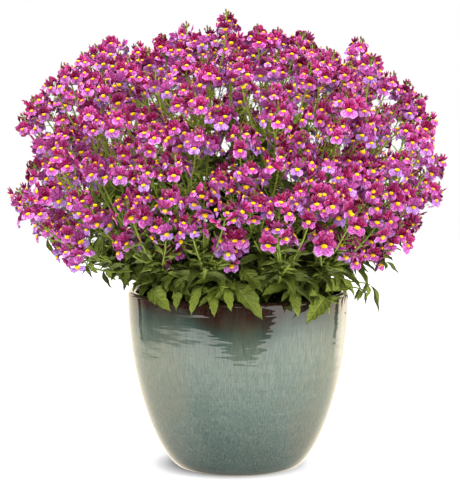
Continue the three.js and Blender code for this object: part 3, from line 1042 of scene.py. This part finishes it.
def turned(outline, steps):
    """A closed body turned round +Z from an outline that starts and ends on the axis."""
    body = bmesh.new()
    corners = [body.verts.new((radius, 0, z)) for radius, z in outline]
    edges = [body.edges.new(pair) for pair in zip(corners, corners[1:])]
    settings = {"axis": UP, "angle": 2 * pi, "steps": steps, "use_merge": True}
    bmesh.ops.spin(body, geom=corners + edges, **settings)
    bmesh.ops.remove_doubles(body, verts=body.verts, dist=1e-6)
    bmesh.ops.recalc_face_normals(body, faces=body.faces)
    for face in body.faces:
        face.smooth = True
    return body


def glaze_finish():
    """A reactive glaze: brown where it is thin at the rim, then dark teal, celadon and blue-grey."""
    finish = Finish("glaze", roughness=0.0, specular_ior_level=0.5, ior=1.5)
    place = finish.place()
    height = finish.part(place, "Z")

    def run(scale, squash, detail, roughness=0.5):
        """Grain whose height is scaled, so that below 1 it is drawn out down the pot."""
        return finish.grain(finish.scaled(place, (1, 1, squash)), scale, detail, roughness)

    streaks = run(scale=520, squash=0.02, detail=3.0, roughness=0.6)
    drips = run(scale=60, squash=0.16, detail=3.0, roughness=0.6)
    cloud = run(scale=14, squash=0.6, detail=3.0)
    speckle = run(scale=560, squash=0.5, detail=2.0, roughness=0.7)
    back = finish.part(place, "Y")
    front = (0.075 - abs(finish.part(place, "X") - 0.002)).step(0, 0.04) * (0 - back).step(0, 0.05)
    patches = run(scale=11, squash=0.2, detail=1.0).step(0.42, 0.6) * back.step(-0.02, 0.05)
    rim_band = (height - 0.226).step(0, 0.006) * 0.5
    thin = front + (patches + rim_band * (1 - patches)) * (1 - front)
    flow = height + thin * 0.017 - 0.012
    flow = flow + (drips - 0.5) * 0.02 + (cloud - 0.5) * 0.012 + (streaks - 0.5) * 0.008
    body = finish.ramp(
        flow / POT_HEIGHT,
        (0.0, rgb(84, 96, 92)), (0.16, rgb(78, 92, 86)),
        (0.4, rgb(80, 97, 87)), (0.66, rgb(90, 105, 92)),
        (0.76, rgb(84, 97, 87)), (0.84, rgb(56, 70, 62)),
        (0.9, rgb(47, 41, 32)), (0.955, rgb(43, 19, 10)),
    )
    colour = finish.mix(streaks.step(0.48, 0.7) * 0.5, body, rgb(40, 58, 56))
    low = 1 - flow.step(0.17, 0.2)
    colour = finish.mix((1 - streaks).step(0.52, 0.72) * low * 0.3, colour, rgb(142, 138, 112))
    speckled = speckle.step(0.52, 0.66) * (1 - (height * 4).step(0.3, 0.85) * 0.6)
    colour = finish.mix(speckled * 0.6, colour, rgb(40, 60, 70))
    colour = finish.mix(cloud.step(0.5, 0.7) * 0.25, colour, rgb(92, 88, 66))
    bare_foot = 1 - height.step(0.0012, 0.0026)
    colour = finish.mix(bare_foot, colour, rgb(120, 98, 72))
    finish.set(base_color=colour)
    ripple = run(scale=15, squash=5, detail=2.0)
    finish.bump(ripple + streaks * 0.012, strength=0.8, distance=1.0)
    return finish.material


def make_pot():
    rim = POT_WALL / 2
    shoulder = POT_HEIGHT - rim
    wall = [0.02 + (shoulder - 0.02) * index / POT_ROWS for index in range(POT_ROWS + 1)]
    heights = [0.0012, 0.004, 0.009, 0.015] + wall
    foot = [(0, 0), (FOOT_RADIUS - 0.003, 0), (FOOT_RADIUS - 0.001, 0.0003)]
    outer = [(pot_radius(z), z) for z in heights]
    turns = [radians(turn) for turn in range(15, 180, 15)]
    edge = [(MOUTH_RADIUS - rim + rim * cos(turn), shoulder + rim * sin(turn)) for turn in turns]
    inner = [(pot_radius(z) - POT_WALL, z) for z in reversed(heights) if z > 0.034]
    floor = [(pot_radius(POT_FLOOR) - POT_WALL - FLOOR_BEND, POT_FLOOR), (0, POT_FLOOR)]
    pot = turned(foot + outer + edge + inner + floor, POT_STEPS)
    add_piece("glazed_pot", pot, [glaze_finish()], ["pot"])


# Soil
SOIL_TOP = 0.214
SOIL_CROWN = 0.008
SEAT_GAP = 0.0003


def soil_finish():
    """Dark potting mix with paler crumbs."""
    finish = Finish("potting_soil", roughness=0.95, specular_ior_level=0.2)
    place = finish.place()
    crumbs = finish.grain(place, scale=300, detail=4.0, roughness=0.65)
    damp = finish.grain(place, scale=24)
    colour = finish.ramp(
        crumbs * 0.7 + damp * 0.3,
        (0.3, rgb(18, 12, 9)), (0.5, rgb(44, 31, 22)), (0.7, rgb(78, 58, 42)),
    )
    finish.set(base_color=colour)
    finish.bump(crumbs, strength=0.8, distance=2.0)
    return finish.material


def make_soil():
    """The potting mix, heaped a little in the middle."""
    inset = POT_WALL + 2 * SEAT_GAP
    low = POT_FLOOR + SEAT_GAP
    bottom = [(0, low), (pot_radius(POT_FLOOR) - inset - FLOOR_BEND, low)]
    wall = [(pot_radius(z) - inset, z) for z in (0.036, 0.07, 0.11, 0.16, SOIL_TOP)]
    rings = [(radius * MM, SOIL_TOP) for radius in range(126, 0, -9)]
    soil = turned(bottom + wall + rings + [(0, SOIL_TOP)], 64)
    for corner in soil.verts:
        out = hypot(corner.co.x, corner.co.y)
        if corner.co.z > SOIL_TOP - 0.001 and out < 0.13:
            lumps = noise.noise(corner.co * 55) * 0.0035 + noise.noise(corner.co * 160) * 0.0018
            corner.co.z += SOIL_CROWN * (1 - (out / MOUTH_RADIUS) ** 2) + lumps
    add_piece("potting_soil", soil, [soil_finish()], ["soil"])


make_pot()
make_soil()


# Floor and light
FLOOR_RADIUS = 3.0


def grey(level):
    return (level, level, level, 1)


def make_floor():
    """A white floor that glows, but for a painted shadow round the foot of the pot, set a little to the
    left.
    """
    shape = bmesh.new()
    bmesh.ops.create_circle(shape, cap_ends=True, segments=96, radius=FLOOR_RADIUS)
    finish = Finish("white_floor", roughness=0.6, specular_ior_level=0.0, base_color=grey(0.35))
    place = finish.place()
    # The glow fades near the pot's foot: a painted shadow.
    reach = ((finish.part(place, "X") + 0.01) ** 2 + finish.part(place, "Y") ** 2) ** 0.5
    stops = ((0.3, grey(0.1)), (0.37, grey(0.44)), (0.43, grey(0.74)), (0.66, grey(1)))
    finish.set(emission_color=finish.ramp(reach * 4, *stops), emission_strength=1.0)
    floor = add_object("floor", kept(shape, "floor"))
    floor.data.materials.append(finish.material)
    floor.visible_glossy = False


def add_softbox(name, place, size, power, target_height=0.35):
    """A soft light that faces the plant at a height, and that the glaze doesn't mirror."""
    data = bpy.data.lights.new(name, "AREA")
    data.shape = "RECTANGLE"
    data.size, data.size_y = size
    data.energy = power
    light = add_object(name, data)
    light.location = place
    light.rotation_euler = aimed(Vector(place), UP * target_height)
    light.visible_glossy = False


make_floor()
add_softbox("left_softbox", (-2.2, -1.5, 1.5), size=(1.3, 1.5), power=40)
add_softbox("right_softbox", (2.3, -1.2, 1.2), size=(1.1, 1.5), power=60, target_height=0.3)
add_softbox("front_softbox", (0.2, -2.8, 1.45), size=(1.8, 1.2), power=28)
add_softbox("back_softbox", (0.3, 2.8, 1.3), size=(1.6, 1.4), power=46)
add_softbox("top_softbox", (-0.3, -0.7, 2.6), size=(1.4, 1.2), power=102, target_height=0.4)


def mirrored_studio(room, way):
    """The light and colour that the glaze mirrors, by azimuth and height in radians."""
    turn = room.math("ARCTAN2", room.part(way, "X"), 0 - room.part(way, "Y"))
    height = room.math("ARCSINE", room.part(way, "Z"))
    side = abs(turn)
    deep = 0 - height
    # Walls over a table, with a lower wall behind
    table = 4.1 - deep.step(0.15, 1.2) * 3.8
    walls = table + height.step(-0.34, -0.22) * (2.4 + turn.sine() * 1.1 - table)
    walls = walls * (1 - side.step(1.2, 2.2) * 0.4)
    behind = 1.9 - deep.step(0.25, 0.95) * 1.4
    light = walls + side.step(2.0, 2.3) * (behind - walls)
    strip = turn.step(2.23, 2.27) * (1 - turn.step(2.45, 2.8)) * height.step(-0.32, -0.2)
    light = light + strip * 1.7
    # A dark opening in front, clutter to its left, a black flag on each side, and a dim patch below
    beside = abs(turn + height * 1.35 + 0.43)
    opening = (height * 2.9 + 1.42 - beside).step(0.0, 0.02) * (1 - beside.step(0.84, 0.87))
    dark = opening * height.step(-0.43, -0.41) * (1 - height.step(0.5, 0.6))
    clutter = room.grain(room.scaled(way, (5, 5, 26)), scale=1.0, detail=3.0, roughness=0.6)
    clutter = clutter.step(0.3, 0.48) * height.step(-0.34, -0.24)
    dark = dark + (1 - dark) * clutter * (0.72 - abs(turn + 1.48)).step(0.0, 0.3) * 0.85
    flag = side.step(2.09, 2.13) * (1 - side.step(2.21, 2.25)) * height.step(-0.27, -0.22)
    dim = (0.5 - abs(turn + 0.85)).step(0.0, 0.4) * deep.step(0.45, 0.7)
    light = light * (1 - dark) * (1 - flag) * (1 - dim * 0.3) + 0.02
    return light, room.mix(side.step(0.6, 2.1), (1, 1, 0.96, 1), (1, 0.88, 0.7, 1))


def make_world():
    """A white studio, dimmer as a light. The glaze alone mirrors walls with a dark opening."""
    world = bpy.data.worlds.new("studio")
    world.use_nodes = True
    room = Finish.__new__(Finish)
    room.tree = world.node_tree
    light, colour = mirrored_studio(room, room.node("TexCoord", {}, {}, output="Generated"))
    mirror = room.node("LightPath", {}, {}, output="Is Singular Ray")
    matt = room.node("LightPath", {}, {}, output="Is Diffuse Ray")
    background = world.node_tree.nodes["Background"]
    room.feed(background.inputs["Color"], room.mix(mirror, (1, 1, 1, 1), colour))
    room.feed(background.inputs["Strength"], 1 + mirror * (light - 1) - matt * 0.7)
    bpy.context.scene.world = world


make_world()
bpy.context.scene.view_settings.view_transform = "Standard"
